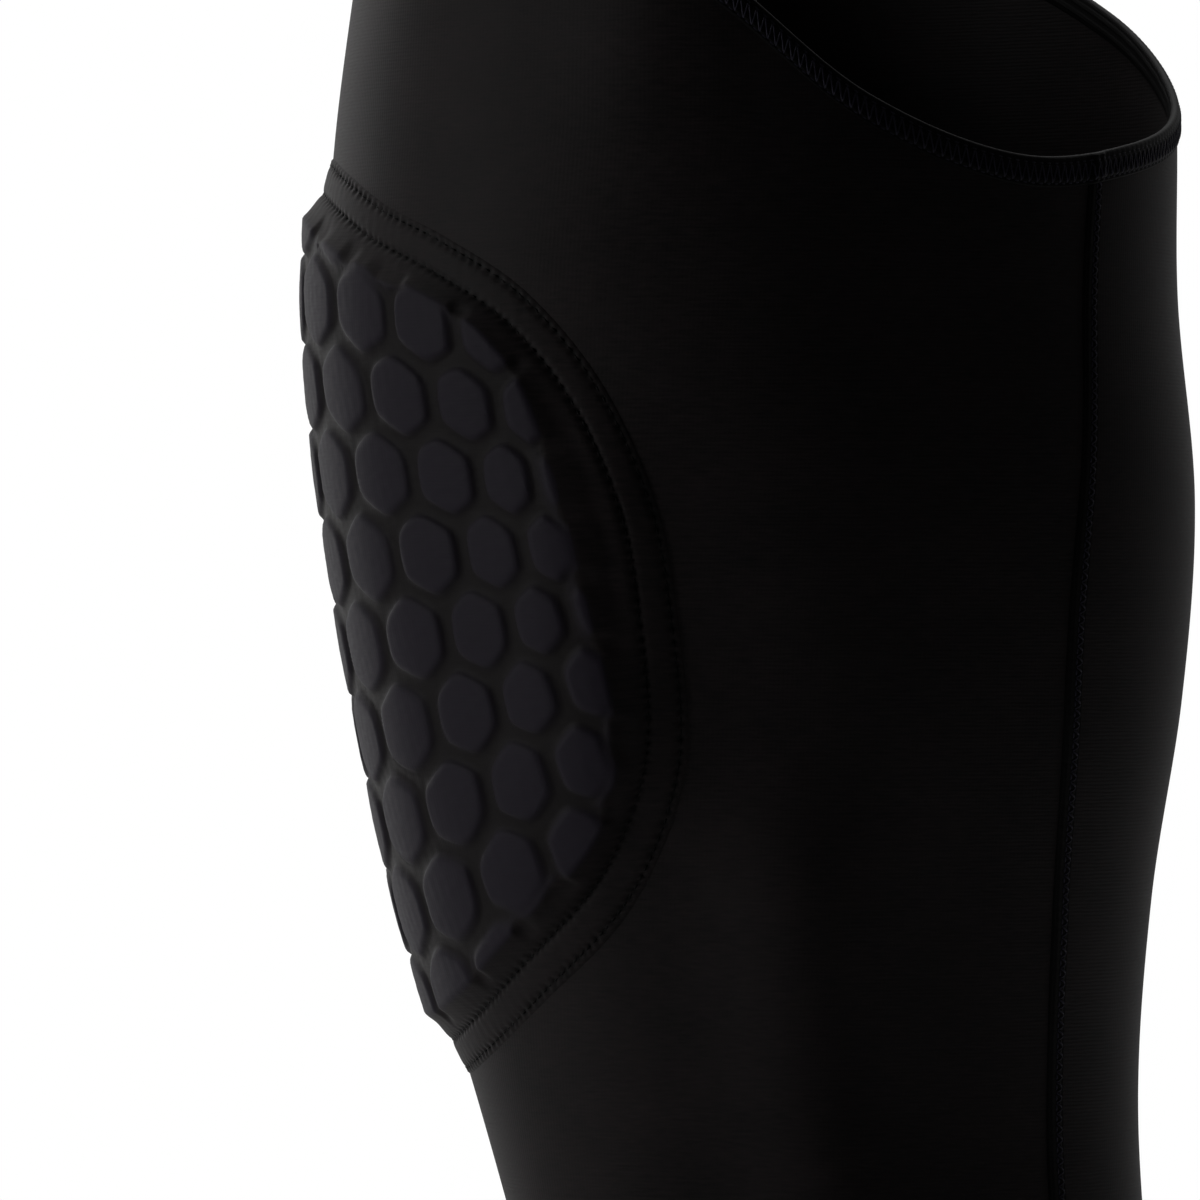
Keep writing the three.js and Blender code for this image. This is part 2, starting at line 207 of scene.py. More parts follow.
# Soft ridges over the muscles at the front: turn is in degrees round from the outer side, by way of the
# front, and middle is a level on the leg. A ridge has its full height as far as the share full above and
# below that level, and has run out at the share gone.
MUSCLES = [
    {"turn": 93, "middle": 0.0, "full": 0.27, "gone": 0.4, "height": 3.2 * MM},
    {"turn": 64, "middle": 0.48, "full": 0.06, "gone": 0.17, "height": 1.8 * MM},
    {"turn": 75, "middle": 1.0, "full": 0.14, "gone": 0.3, "height": 1.4 * MM},
]

# The top edge: turn is in degrees round from the outer side, by way of the front, and fall is a share of
# TOP_FALL.
TOP_EDGE = [
    {"turn": 0, "fall": 0.0},
    {"turn": 40, "fall": 0.02},
    {"turn": 62, "fall": 0.17},
    {"turn": 84, "fall": 0.49},
    {"turn": 104, "fall": 0.83},
    {"turn": 126, "fall": 1.0},
    {"turn": 150, "fall": 0.96},
    {"turn": 180, "fall": 0.8},
    {"turn": 210, "fall": 0.5},
    {"turn": 240, "fall": 0.22},
    {"turn": 275, "fall": 0.05},
    {"turn": 320, "fall": 0.0},
]

INSEAM_LINE = [
    {"level": 0.0, "turn": 134.5},
    {"level": 0.25, "turn": 137},
    {"level": 0.48, "turn": 134.5},
    {"level": 0.68, "turn": 140},
    {"level": 0.8, "turn": 142},
]

# Front half of the panel's edge, from top to bottom, as shares of the panel's half width and half height.
PANEL_EDGE = [
    {"across": 0.0, "up": 1.0},
    {"across": 0.205, "up": 0.96},
    {"across": 0.42, "up": 0.88},
    {"across": 0.6, "up": 0.81},
    {"across": 0.79, "up": 0.69},
    {"across": 0.93, "up": 0.49},
    {"across": 0.997, "up": 0.24},
    {"across": 0.99, "up": -0.01},
    {"across": 0.93, "up": -0.33},
    {"across": 0.755, "up": -0.61},
    {"across": 0.49, "up": -0.82},
    {"across": 0.24, "up": -0.95},
    {"across": 0.0, "up": -1.0},
]

# Where the foam is at its full height: inset is from the panel's edge, and way is the share of the way
# round that edge from the top, to either side.
FOAM_EDGE = [
    {"way": 0.0, "inset": 12.6 * MM},
    {"way": 0.05, "inset": 13.4 * MM},
    {"way": 0.12, "inset": 11.6 * MM},
    {"way": 0.16, "inset": 13.0 * MM},
    {"way": 0.2, "inset": 17.0 * MM},
    {"way": 0.24, "inset": 17.4 * MM},
    {"way": 0.28, "inset": 14.3 * MM},
    {"way": 0.33, "inset": 11.2 * MM},
    {"way": 0.38, "inset": 12.6 * MM},
    {"way": 0.44, "inset": 12.2 * MM},
    {"way": 0.5, "inset": 14.2 * MM},
]


# Curves and surfaces


def smooth_table(rows, key, columns, period=None):
    """A smooth curve through a table: give it an array of keys, and it returns one array per column."""
    keys = np.array([row[key] for row in rows], float)
    values = np.array([[row[column] for column in columns] for row in rows], float)
    if period:
        keys = np.concatenate([keys - period, keys, keys + period])
        values = np.tile(values, (3, 1))
    slopes = np.diff(values, axis=0) / np.diff(keys)[:, None]
    tangents = np.vstack([slopes[:1], (slopes[1:] + slopes[:-1]) / 2, slopes[-1:]])

    def curve(at):
        at = np.clip(np.mod(at, period) if period else at, keys[0], keys[-1])
        low = np.clip(np.searchsorted(keys, at, side="right") - 1, 0, len(keys) - 2)
        step = keys[low + 1] - keys[low]
        t = ((at - keys[low]) / step)[..., None]
        step = step[..., None]
        start = (1 + 2 * t) * (1 - t) ** 2 * values[low] + t * (1 - t) ** 2 * step * tangents[low]
        end = t**2 * (3 - 2 * t) * values[low + 1] + t**2 * (t - 1) * step * tangents[low + 1]
        return np.moveaxis(start + end, -1, 0)

    return curve


leg_shares = smooth_table(SECTIONS, "level", ["inwards", "width", "back", "depth"])
top_edge_fall = smooth_table(TOP_EDGE, "turn", ["fall"], period=360)
inseam_turn_at = smooth_table(INSEAM_LINE, "level", ["turn"])
foam_edge_at = smooth_table(FOAM_EDGE, "way", ["inset"])


def smooth_step(low, high, value):
    t = np.clip((value - low) / (high - low), 0, 1)
    return t * t * (3 - 2 * t)


def bell(value, width, power=2):
    """A share that is 1 where the value is 0, and has mostly gone at the width to either side."""
    return np.exp(-((value / width) ** power))


def between_half_turns(turn):
    """The same turn, as an angle between half a turn back and half a turn forward."""
    return np.mod(turn + math.pi, 2 * math.pi) - math.pi


def level_of(height):
    return np.clip((np.asarray(height) + SLEEVE_BELOW) / (SLEEVE_ABOVE + SLEEVE_BELOW), 0, 1)


def leg_section(height):
    """The leg's oval at a height: its centre, half width and half depth."""
    inwards, width, back, depth = leg_shares(level_of(height))
    return inwards * THIGH_WIDTH, back * THIGH_DEPTH, width * THIGH_WIDTH / 2, depth * THIGH_DEPTH / 2


def length_per_turn(turn, height):
    """How far one radian goes round the leg's oval at a place on it."""
    _, _, half_width, half_depth = leg_section(height)
    return np.hypot(half_width * np.sin(turn), half_depth * np.cos(turn))


def muscle_relief(turn, height):
    """The height of the muscles' ridges, each between two shallow hollows."""
    _, _, half_width, _ = leg_section(height)
    relief = 0
    for muscle in MUSCLES:
        away = between_half_turns(turn - math.radians(muscle["turn"])) * half_width / MUSCLE_WIDTH
        share = smooth_step(muscle["gone"], muscle["full"], np.abs(level_of(height) - muscle["middle"]))
        relief = relief + muscle["height"] * share * (1 - away**2) * np.exp(-(away**2) / 2)
    return relief


def leg_points(turn, height):
    x, y, half_width, half_depth = leg_section(height)
    muscle = muscle_relief(turn, height)
    across, forward = (half_width + muscle) * np.cos(turn), (half_depth + muscle) * np.sin(turn)
    return np.stack([x - across, y - forward, height + 0 * x], axis=-1)


def unit(vectors):
    return vectors / np.linalg.norm(vectors, axis=-1, keepdims=True)


def sleeve_normals(turn, height):
    step = 1e-4
    round_it = leg_points(turn + step, height) - leg_points(turn - step, height)
    up = leg_points(turn, height + step) - leg_points(turn, height - step)
    return unit(np.cross(round_it, up))


def sleeve_points(turn, height, lift):
    """The points that lie lift outside the sleeve's outer face."""
    turn, height, lift = np.broadcast_arrays(turn, height, lift)
    return leg_points(turn, height) + sleeve_normals(turn, height) * lift[..., None]


def top_edge_height(turn):
    return SLEEVE_ABOVE - TOP_FALL * top_edge_fall(np.degrees(turn))[0]


def inseam_turn(height):
    return np.radians(inseam_turn_at(level_of(height))[0])


def panel_turn(across, up):
    _, _, half_width, half_depth = leg_section(up)
    return (PANEL_FORWARD + across) / ((half_width + half_depth) / 2)


def panel_points(across, up, lift):
    return sleeve_points(panel_turn(across, up), up, lift)


def closed_curve(points, samples=EDGE_POINTS):
    """A smooth closed curve through flat points.

    It returns points at equal steps along the curve, their inward directions and the curve's length.
    """
    points = np.asarray(points, float)
    count = len(points)
    t = np.linspace(0, 1, 60, endpoint=False)[:, None]
    dense = []
    for i in range(count):
        before, start, end, after = (points[(i + n) % count] for n in (-1, 0, 1, 2))
        gaps = [math.sqrt(np.linalg.norm(b - a)) for a, b in ((before, start), (start, end), (end, after))]
        leave = (start - before) / gaps[0] - (end - before) / (gaps[0] + gaps[1]) + (end - start) / gaps[1]
        arrive = (end - start) / gaps[1] - (after - start) / (gaps[1] + gaps[2]) + (after - end) / gaps[2]
        leave, arrive = leave * gaps[1], arrive * gaps[1]
        dense.append(
            (2 * t**3 - 3 * t**2 + 1) * start
            + (t**3 - 2 * t**2 + t) * leave
            + (3 * t**2 - 2 * t**3) * end
            + (t**3 - t**2) * arrive
        )
    dense = np.concatenate(dense)
    dense = np.vstack([dense, dense[:1]])
    run = np.concatenate([[0], np.cumsum(np.linalg.norm(np.diff(dense, axis=0), axis=1))])
    at = np.linspace(0, run[-1], samples, endpoint=False)
    places = np.stack([np.interp(at, run, dense[:, n]) for n in (0, 1)], axis=1)
    along = unit(np.roll(places, -1, axis=0) - np.roll(places, 1, axis=0))
    inwards = np.stack([along[:, 1], -along[:, 0]], axis=1)
    return places, inwards, run[-1]


def panel_outline():
    front = [(row["across"] * PANEL_HALF_WIDTH, row["up"] * PANEL_HALF_HEIGHT) for row in PANEL_EDGE]
    back = [(-across, up) for across, up in front[1:-1][::-1]]
    return closed_curve(front + back)


edge_places, edge_inwards, edge_length = panel_outline()


def inside_edge(share, inset):
    """The flat places that lie inset inside the panel's edge, at shares of the way round it from the top.

    Each comes with the direction straight inwards from the edge.
    """
    at = np.mod(share, 1) * len(edge_places)
    low = at.astype(int) % len(edge_places)
    high = (low + 1) % len(edge_places)
    rest = (at - np.floor(at))[..., None]
    place = edge_places[low] * (1 - rest) + edge_places[high] * rest
    inwards = unit(edge_inwards[low] * (1 - rest) + edge_inwards[high] * rest)
    return place + inwards * np.asarray(inset)[..., None], inwards


# Meshes


def mesh_object(name, points, faces, cloth=None, masks=None):
    """A smooth mesh piece.

    cloth is each point's place on the flat cloth, and masks are named shares that its material reads.
    """
    mesh = bpy.data.meshes.new(name)
    mesh.from_pydata(np.reshape(points, (-1, 3)).tolist(), [], faces)
    mesh.validate()
    mesh.update()
    mesh.polygons.foreach_set("use_smooth", [True] * len(mesh.polygons))
    if cloth is not None:
        layer = mesh.attributes.new("cloth", "FLOAT_VECTOR", "POINT")
        layer.data.foreach_set("vector", np.asarray(cloth, np.float32).ravel())
    for key, values in (masks or {}).items():
        layer = mesh.attributes.new(key, "FLOAT", "POINT")
        layer.data.foreach_set("value", np.asarray(values, np.float32).ravel())
    piece = bpy.data.objects.new(name, mesh)
    bpy.context.scene.collection.objects.link(piece)
    return piece


def grid_faces(columns, rows, wrap_columns=False, wrap_rows=False):
    """Faces of a grid whose points run column by column along each row."""
    column = np.arange(columns if wrap_columns else columns - 1)
    row = np.arange(rows if wrap_rows else rows - 1)[:, None]
    right, up = (column + 1) % columns, (row + 1) % rows
    corners = [row * columns + column, row * columns + right, up * columns + right, up * columns + column]
    return np.stack(corners, axis=-1).reshape(-1, 4).tolist()


def tubes(centres, outwards, radii):
    """Threads with closed ends. centres holds, for each thread, the points along its middle line."""
    count, length = centres.shape[:2]
    along = np.gradient(centres, axis=1)
    across = unit(np.cross(along, outwards))
    lifted = unit(np.cross(across, along))
    side = np.arange(THREAD_SIDES)
    angle = (side * 2 * math.pi / THREAD_SIDES)[:, None]
    spokes = across[:, :, None] * np.cos(angle) + lifted[:, :, None] * np.sin(angle)
    rings = centres[:, :, None] + spokes * radii[..., None, None]
    tips = centres[:, [0, -1]] + unit(along[:, [0, -1]]) * np.array([[-1], [1]]) * THREAD_TIP
    points = np.concatenate([rings.reshape(count, -1, 3), tips], axis=1)

    next_side = (side + 1) % THREAD_SIDES
    last_ring = (length - 1) * THREAD_SIDES
    first_tip = np.full(THREAD_SIDES, length * THREAD_SIDES)
    sheath = np.array(grid_faces(THREAD_SIDES, length, wrap_columns=True))
    near = np.stack([next_side, side, first_tip], axis=1)
    far = np.stack([last_ring + side, last_ring + next_side, first_tip + 1], axis=1)
    faces = []
    for start in np.arange(count) * points.shape[1]:
        faces += (sheath + start).tolist() + (near + start).tolist() + (far + start).tolist()
    return points, faces


def ripple(x, y, size, seed):
    """A smooth, repeatable unevenness between about -1 and 1, with waves of about the given size."""
    random = np.random.default_rng(seed)
    total = np.zeros(np.broadcast(x, y).shape)
    for _ in range(7):
        angle = random.uniform(0, math.pi)
        wave = 2 * math.pi / (size * random.uniform(0.6, 1.7))
        start = random.uniform(0, 2 * math.pi)
        total += np.sin((x * math.cos(angle) + y * math.sin(angle)) * wave + start)
    return total / 4


# Threads


def stitches(place, length, row, pitch, lift):
    """One row of lock stitches, each a short thread whose ends go down into the cloth.

    place gives the turn and height at a run along the seam and a distance beside its middle line.
    """
    count = round(length / pitch)
    knots = np.linspace(-0.5, 0.5, THREAD_KNOTS)
    run = (np.arange(count)[:, None] + 0.5 + knots * STITCH_SHARE) / count * length
    turn, height = place(run, row + 0 * run)
    dive = np.abs(knots * 2) ** STITCH_BEND
    centres = sleeve_points(turn, height, lift(turn, height) - STITCH_DIP * dive)
    radii = THREAD / 2 * (1 - STITCH_THINNING * dive) + 0 * run
    return centres, sleeve_normals(turn, height), radii


def crossing_threads(place, length, half_width, pitch, lift):
    """The looper threads of a flat seam, which cross it to and fro between its two needle rows."""
    halves = 2 * round(length / pitch)
    knots = np.linspace(0, 1, THREAD_KNOTS)
    run = (np.arange(halves)[:, None] + knots) / halves * length
    side = np.where(np.arange(halves) % 2 == 0, 1.0, -1.0)[:, None]
    turn, height = place(run, side * (2 * knots - 1) * half_width)
    dive = np.abs(knots * 2 - 1) ** LOOPER_BEND
    centres = sleeve_points(turn, height, lift(turn, height) - LOOPER_DIP * dive)
    radii = LOOPER_RADIUS * (1 - LOOPER_THINNING * dive) + 0 * run
    return centres, sleeve_normals(turn, height), radii


def thread_object(name, *rows):
    """Rows of threads as one piece."""
    centres, outwards, radii = (np.concatenate(part) for part in zip(*rows))
    return mesh_object(name, *tubes(centres, outwards, radii))


# The sleeve and its seams


def sleeve_relief(turn, height):
    """How far the worn cloth stands off its smooth shape: faint unevenness, and the channels of the hem."""
    _, _, half_width, _ = leg_section(height)
    folds = TENSION_FOLD * ripple(turn * half_width / 2, height, TENSION_FOLD_SIZE, seed=4)
    above_hem = height + SLEEVE_BELOW
    channels = HEM_CHANNEL * sum(bell(above_hem - row, HEM_CHANNEL_WIDTH) for row in HEM_ROWS)
    fold = HEM_FOLD * smooth_step(HEM_DEPTH, HEM_DEPTH - HEM_FOLD_SLOPE, above_hem)
    return folds + fold - channels


def sleeve_cloth():
    """The sleeve as one closed skin: up the outer face, over the top, down inside and under the hem."""
    columns, rows = SLEEVE_GRID
    offset = np.arange(columns) * 2 * math.pi / columns
    top = top_edge_height(math.radians(INSEAM_LINE[-1]["turn"]) + offset)
    share = np.linspace(0, 1, rows)[:, None]
    outer = (CLOTH - SLEEVE_BELOW) * (1 - share) + (top - CLOTH / 2) * share
    inner = outer[::-2]
    bend = np.linspace(0, math.pi, 7)[1:-1, None]
    over_top = top - CLOTH / 2 + CLOTH / 2 * np.sin(bend)
    under_hem = CLOTH - SLEEVE_BELOW - CLOTH * np.sin(bend) + 0 * top
    height = np.vstack([outer, over_top, inner, under_hem])
    turn = inseam_turn(height) + offset

    turning_in = (1 - np.cos(bend)) / 2 + 0 * top
    inwards = np.vstack([0 * outer, turning_in, 0 * inner + 1, 1 - turning_in])
    layers = 1 + smooth_step(HEM_DEPTH + HEM_STEP, HEM_DEPTH - HEM_STEP, height + SLEEVE_BELOW)
    lift = sleeve_relief(turn, height) * (1 - inwards) - inwards * layers * CLOTH

    _, _, half_width, _ = leg_section(height)
    around = np.where(offset > math.pi, offset - 2 * math.pi, offset) * half_width
    cloth = np.stack([around, height, 0 * height], axis=-1)
    faces = grid_faces(columns, len(height), wrap_columns=True, wrap_rows=True)
    return mesh_object("sleeve_cloth", sleeve_points(turn, height, lift), faces, cloth)


def run_along(points):
    """The distance from the first point to each point of a line."""
    return np.concatenate([[0], np.cumsum(np.linalg.norm(np.diff(points, axis=0), axis=1))])


def line_round(height_at):
    """A line right round the leg, at each turn's height: its place and its length. Beside it is up."""
    turns = np.linspace(0, 2 * math.pi, POINTS_ROUND)
    run = run_along(leg_points(turns, height_at(turns)))

    def place(at, beside):
        turn = np.interp(at, run, turns)
        return turn, height_at(turn) + beside

    return place, run[-1]


def top_seam_line():
    """The middle of the band along the sleeve's top edge: its place and its length."""
    place_at_edge, length = line_round(top_edge_height)

    def place(at, beside):
        return place_at_edge(at, beside - TOP_SEAM_WIDTH / 2)

    return place, length


def hem_line(row):
    def height_at(turn):
        return row - SLEEVE_BELOW + 0 * turn

    return line_round(height_at)


def inseam_line():
    """The inseam, from the leg's lower edge to just below its top edge: its place and its length."""
    top = top_edge_height(inseam_turn(SLEEVE_ABOVE - TOP_FALL)) - INSEAM_BELOW_TOP
    heights = np.linspace(INSEAM_ABOVE_HEM - SLEEVE_BELOW, top, INSEAM_POINTS)
    run = run_along(leg_points(inseam_turn(heights), heights))

    def place(at, beside):
        height = np.interp(at, run, heights)
        turn = inseam_turn(height)
        return turn + beside / length_per_turn(turn, height), height

    return place, run[-1]


def seam_lift(share):
    """A flat seam's relief at a share of its half width: a soft ridge on each side of its middle line."""
    share = np.abs(share)
    low, high = SEAM_RIDGE_SPAN
    ridge = SEAM_RISE + SEAM_RIDGE * np.sin(math.pi * np.clip((share - low) / (high - low), 0, 1))
    needle = SEAM_NEEDLE_DEPTH * bell(share - SEAM_NEEDLE, SEAM_NEEDLE_WIDTH)
    at_side = smooth_step(SEAM_SIDE, 1, share)
    return (ridge - needle) * (1 - at_side) - SEAM_TUCK * at_side


def seam_pucker(run, share):
    """The slight pull of each stitch along a flat seam's needle rows."""
    pull = np.cos(2 * math.pi * run / SEAM_STITCH)
    return SEAM_PUCKER * pull * bell(np.abs(share) - SEAM_NEEDLE, SEAM_PUCKER_WIDTH)


def inseam_relief(turn, height):
    """The sleeve's relief with the inseam's on it."""
    beside = between_half_turns(turn - inseam_turn(height)) * length_per_turn(turn, height)
    share = np.clip(beside / (INSEAM_WIDTH / 2), -1, 1)
    return sleeve_relief(turn, height) + np.maximum(seam_lift(share), 0)


def binding_relief(turn, height):
    """The same, with the top edge's band on it."""
    share = (height - top_edge_height(turn)) / (TOP_SEAM_WIDTH / 2) + 1
    return inseam_relief(turn, height) + np.maximum(seam_lift(share), 0)


def inseam_band():
    """The raised inseam, whose lower end goes down into the cloth."""
    place, length = inseam_line()
    steps, rows = INSEAM_GRID
    run = np.linspace(0, length, steps)
    share = np.linspace(-1, 1, rows)[:, None]
    turn, height = place(run, share * INSEAM_WIDTH / 2)
    end_drop = INSEAM_END_DROP * (1 - smooth_step(0, INSEAM_END_RUN, run))
    lift = sleeve_relief(turn, height) + seam_lift(share) - seam_pucker(run, share) - end_drop
    cloth = np.stack([run + 0 * share, share * INSEAM_WIDTH / 2 + 0 * run, 0 * lift], axis=-1)
    return mesh_object("inseam_band", sleeve_points(turn, height, lift), grid_faces(steps, rows), cloth)


def top_binding():
    """The band folded over the top edge and sewn down on both faces, as one closed ring."""
    place, length = top_seam_line()
    run = np.arange(BINDING_STEPS) * length / BINDING_STEPS
    half = TOP_SEAM_WIDTH / 2
    fold_start = 0.9  # as a share of half, like flat_from
    fold_rise = 0.9 * MM
    flat_from = 0.8
    outer = np.linspace(-1, fold_start, BINDING_ROWS["outer"])
    over = np.linspace(0, math.pi, BINDING_ROWS["fold"])[1:-1]
    inner = np.linspace(fold_start, -1, BINDING_ROWS["inner"])
    fold = half * fold_start + fold_rise * np.sin(over)
    beside = np.concatenate([outer * half, fold, inner * half])[:, None]
    face = np.concatenate([0 * outer, (1 - np.cos(over)) / 2, 0 * inner + 1])[:, None]
    turn, height = place(run, beside)
    share = np.clip(beside / half, -1, flat_from)
    outside = inseam_relief(turn, height) + seam_lift(share) - seam_pucker(run, share)
    inside = -CLOTH - seam_lift(share)
    lift = outside * (1 - face) + inside * face
    cloth = np.stack([run + 0 * beside, beside * (1 - 2 * face) + 0 * run, 0 * lift], axis=-1)
    faces = grid_faces(BINDING_STEPS, len(beside), wrap_columns=True, wrap_rows=True)
    return mesh_object("top_binding", sleeve_points(turn, height, lift), faces, cloth)


def seam_threads(name, line, needles, lift):
    """A seam's two needle rows, at these distances beside its line, and the looper threads between them."""
    place, length = line
    middle, half = (needles[0] + needles[1]) / 2, (needles[1] - needles[0]) / 2

    def beside_middle(run, beside):
        return place(run, beside + middle)

    def looper_lift(turn, height):
        return lift(turn, height) + LOOPER_LIFT

    rows = [stitches(place, length, needle, SEAM_STITCH, lift) for needle in needles]
    rows.append(crossing_threads(beside_middle, length, half, SEAM_STITCH, looper_lift))
    return thread_object(name, *rows)


def hem_threads():
    def lift(turn, height):
        return inseam_relief(turn, height) + HEM_THREAD_LIFT

    rows = [stitches(*hem_line(row), 0.0, HEM_STITCH, lift) for row in HEM_ROWS]
    return thread_object("hem_stitches", *rows)


# The padded panel


def even_place(x, y):
    """The place in the honeycomb's even pattern that lies at a place of the panel."""

    def to_edge(share):
        return np.hypot(share, ROW_BEND) - ROW_BEND

    furthest = 0.995 * COLUMN_RADIUS
    drawn = np.clip(x + COLUMN_LEAN * y, -furthest, furthest)
    row_share = 1 - (1 - EDGE_ROW_SHARE) * to_edge(drawn / PANEL_HALF_WIDTH) / to_edge(1)
    return COLUMN_RADIUS * np.arcsin(drawn / COLUMN_RADIUS), (y - FAN_HEIGHT) / row_share


def cell_reach(x, y):
    """The share of the way from the nearest cell's middle to its border, and the cell's row and column."""
    wander_x, wander_y = (CELL_WANDER * ripple(x, y, CELL_WANDER_SIZE, seed=seed) for seed in (7, 8))
    across, rise = even_place(x + wander_x, y + wander_y)
    columns, rows = across / CELL_PITCH, TOP_ROW_RISE - rise / ROW_PITCH
    best = np.full(x.shape, np.inf)
    cell = np.zeros(x.shape + (2,))
    slant = math.sqrt(3) / 2
    for step in (0, 1):
        row = np.floor(rows) + step
        stagger = np.where(np.mod(row, 2) == 0, 0.0, 0.5)
        column = np.round(columns - stagger) + stagger
        dx, dy = np.abs(columns - column), np.abs(rows - row) * slant
        sides = [dx, dx / 2 + dy * slant, np.abs(dx / 2 - dy * slant)]
        reach = 2 * sum(side**CELL_SQUARENESS for side in sides) ** (1 / CELL_SQUARENESS)
        nearer = reach < best
        best = np.where(nearer, reach, best)
        cell[nearer] = np.stack([row, column], axis=-1)[nearer]
    return best, cell


def honeycomb(x, y):
    """How each place lies in the pattern.

    It returns the distance from the middle of the nearest groove, the row and column of the cell, and the
    way straight across that groove.
    """
    step = 0.1 * MM
    reach, cell = cell_reach(x, y)
    slope_x = (cell_reach(x + step, y)[0] - cell_reach(x - step, y)[0]) / (2 * step)
    slope_y = (cell_reach(x, y + step)[0] - cell_reach(x, y - step)[0]) / (2 * step)
    steepness = np.maximum(np.hypot(slope_x, slope_y), 1 / CELL_PITCH)
    across = np.stack([slope_x, slope_y], axis=-1) / steepness[..., None]
    return np.clip((1 - reach) / steepness, 0, CELL_PITCH / 2), cell, across


def gather_at_walls(x, y):
    """Moves the cover's points a little, so that more of them lie on the steep sides of the cells."""
    step = 0.05 * MM
    from_groove, _, _ = honeycomb(x, y)
    slope_x = honeycomb(x + step, y)[0] - honeycomb(x - step, y)[0]
    slope_y = honeycomb(x, y + step)[0] - honeycomb(x, y - step)[0]
    steepness = np.maximum(np.hypot(slope_x, slope_y), 1e-9)
    middle = GROOVE_FLOOR + GROOVE_WALL / 2
    reach = 1.0 * MM  # from a wall's middle to the points that move most
    gone = 2.8 * MM  # and to those that stay
    most = 0.5 * MM
    move = np.interp(from_groove, [0, middle - reach, middle + reach, middle + gone], [0, most, -most, 0])
    return x + move * slope_x / steepness, y + move * slope_y / steepness


def cell_heights(x, y, from_edge, inwards):
    """The cover's lift over the foam's cells and grooves, and the share by which a place is on a cell.

    The drawn cover bridges the grooves near the foam's edge, most of all those that run along it. inwards
    is the direction away from that edge.
    """
    from_groove, cell, across = honeycomb(x, y)
    off_cell = 1 - smooth_step(GROOVE_FLOOR, GROOVE_FLOOR + GROOVE_WALL, from_groove)
    inner = from_groove / (CELL_PITCH / 2)
    own = np.sin(cell[..., 0] * 12.9898 + cell[..., 1] * 78.233)  # each cell's own value, in no order
    top = CELL_LIFT + CELL_CROWN * (1 - (1 - inner) ** 2) + CELL_UNEVENNESS * own
    passing = np.sum(across * inwards, axis=-1) ** 2
    depth = ENDING_GROOVE + (PASSING_GROOVE - ENDING_GROOVE) * passing
    depth = depth + (1 - depth) * smooth_step(0, EDGE_GROOVE_RUN, from_edge)
    return top - (top - GROOVE_LIFT) * off_cell * depth, 1 - off_cell * depth


def soft_least(a, b, blend):
    """The lesser of two heights, rounded where they cross."""
    part = np.clip(0.5 + 0.5 * (b - a) / blend, 0, 1)
    return b * (1 - part) + a * part - blend * part * (1 - part)


def drift(along, reach, wave, start):
    return reach * np.sin(along / wave + start)


def needle_holes(along):
    """A share that is 1 at the panel's needle holes, which lie between the stitches and are uneven."""
    shift = drift(along, reach=0.35 * MM, wave=4.1 * MM, start=0)
    shift = shift + drift(along, reach=0.25 * MM, wave=1.7 * MM, start=2)
    wideness = drift(along, reach=0.25, wave=2.9 * MM, start=1)
    return smooth_step(-0.35, 0.25, np.cos(2 * math.pi * (along + shift) / PANEL_STITCH) + wideness)


def margin_relief(inset, along):
    """The margin's lift, with a puffed band between stitched channels, and the share of the needle holes,
    whose near-black colour is painted shade.
    """
    across_band = np.clip((inset - OUTER_ROW) / (INNER_ROW - OUTER_ROW), 0, 1)
    rise = SEAM_BAND_RISE * across_band * smooth_step(INNER_ROW + SEAM_BAND_FADE, INNER_ROW, inset)
    puff = SEAM_BAND_PUFF * np.sin(math.pi * across_band) ** 0.8
    holes = needle_holes(along)
    channel = sum(bell(inset - row, CHANNEL_WIDTH) for row in STITCH_ROWS)
    hole_shade = holes * sum(bell(inset - row, HOLE_WIDTH, power=4) for row in STITCH_ROWS)
    lift = COVER_CLOTH * smooth_step(*MARGIN_EDGE, inset) + rise + puff
    return lift - (CHANNEL_DEPTH + HOLE_DEPTH * holes) * channel, hole_shade


def cover_grid():
    """The cover's points in square rings, the outermost of them along the panel's edge.

    It returns each point's share of the way round, inset from the edge, flat place and way inwards.
    """
    steps = np.arange(-COVER_RINGS, COVER_RINGS + 1)
    i, j = np.meshgrid(steps, steps)
    ring = np.maximum(np.abs(i), np.abs(j))
    safe = np.maximum(ring, 1)
    eighths = np.select(
        [(j == ring) & (i >= 0), i == ring, j == -ring, i == -ring],
        [i / safe, 2 - j / safe, 4 - i / safe, 6 + j / safe],
        8 + i / safe,
    )
    inner_rings = COVER_RINGS - MARGIN_RINGS
    inset = np.minimum((COVER_RINGS - ring) / MARGIN_RINGS, 1) * MARGIN_BAND
    place, inwards = inside_edge(eighths / 8, inset)
    place = place * np.minimum(ring / inner_rings, 1)[..., None]
    return eighths / 8, inset, place, inwards


def foam_edges(share, inset):
    """The insets at which the foam has its full height, and at which the drawn cover meets it.

    The cover meets it further in where a groove ends.
    """
    foam_edge = foam_edge_at(np.minimum(share, 1 - share))[0]
    edge_place, _ = inside_edge(share, foam_edge + EDGE_NOTCH)
    from_groove, _, _ = honeycomb(edge_place[..., 0], edge_place[..., 1])
    notch = 1 - smooth_step(*NOTCH_SLOPE, from_groove)
    return foam_edge, foam_edge + EDGE_NOTCH * notch * smooth_step(INNER_ROW, foam_edge, inset)


def drawn_lift(inset, met):
    """The lift of the cover where it is drawn from the inner row of stitches up to the foam."""
    climb = np.clip((inset - INNER_ROW) / (met - INNER_ROW), 0, None)
    bent = (1 - DRAWN_BEND) * climb + DRAWN_BEND * climb**2
    return COVER_CLOTH + (CELL_LIFT - COVER_CLOTH) * bent


